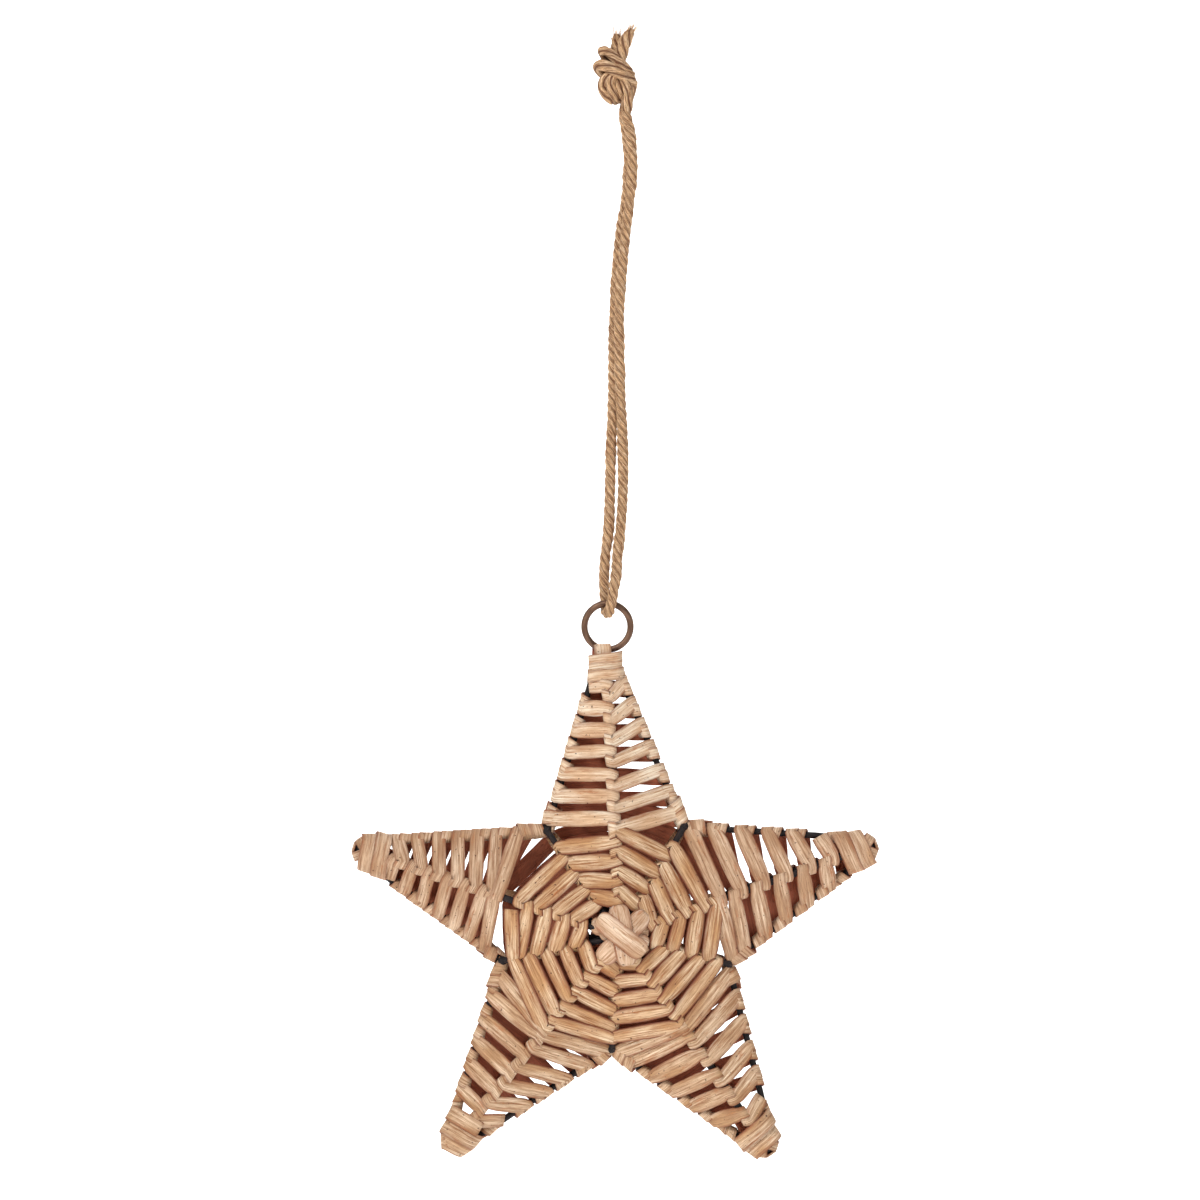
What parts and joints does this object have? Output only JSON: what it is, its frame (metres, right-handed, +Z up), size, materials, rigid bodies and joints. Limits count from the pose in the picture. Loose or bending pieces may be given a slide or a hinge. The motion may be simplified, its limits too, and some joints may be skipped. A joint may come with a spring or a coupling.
{
  "type": "wicker star ornament",
  "caption": "Hollow five-pointed star of split willow strips woven over a black wire frame, lashed at its top tip to a metal ring that hangs from a knotted loop of twisted natural cord.",
  "frame": {"origin": "the hang point: inside the top of the cord loop, just under the knot, where a hook or nail carries it", "axes": "+Z up along the cord, the star in the XZ plane with its front facing -Y, +X to the right seen from the front"},
  "size_m": [0.2021, 0.0394, 0.432],
  "materials": {
    "iron_wire": "black oxidised iron wire, rough and slightly pitted",
    "willow_golden": "split willow, golden, matt, with fine grain along the strip and brown stains",
    "willow_strip": "split willow, pale tan, matt, with fine grain and frayed edges",
    "ring_metal": "bronze-brown lacquered ring, worn and half matt",
    "cord_fibre": "twisted natural plant fibre cord, hairy and matt"
  },
  "bodies": {
    "root": {"wire_frame": "iron_wire", "centre_weave_front": "willow_golden", "centre_weave_back": "willow_golden", "arm_weave_top": "willow_strip", "arm_weave_right": "willow_strip", "arm_weave_lower_right": "willow_strip", "arm_weave_lower_left": "willow_strip", "arm_weave_left": "willow_strip", "hanging_ring": "ring_metal", "hanging_cord": "cord_fibre", "cord_knot": "cord_fibre"}
  },
  "joints": []
}
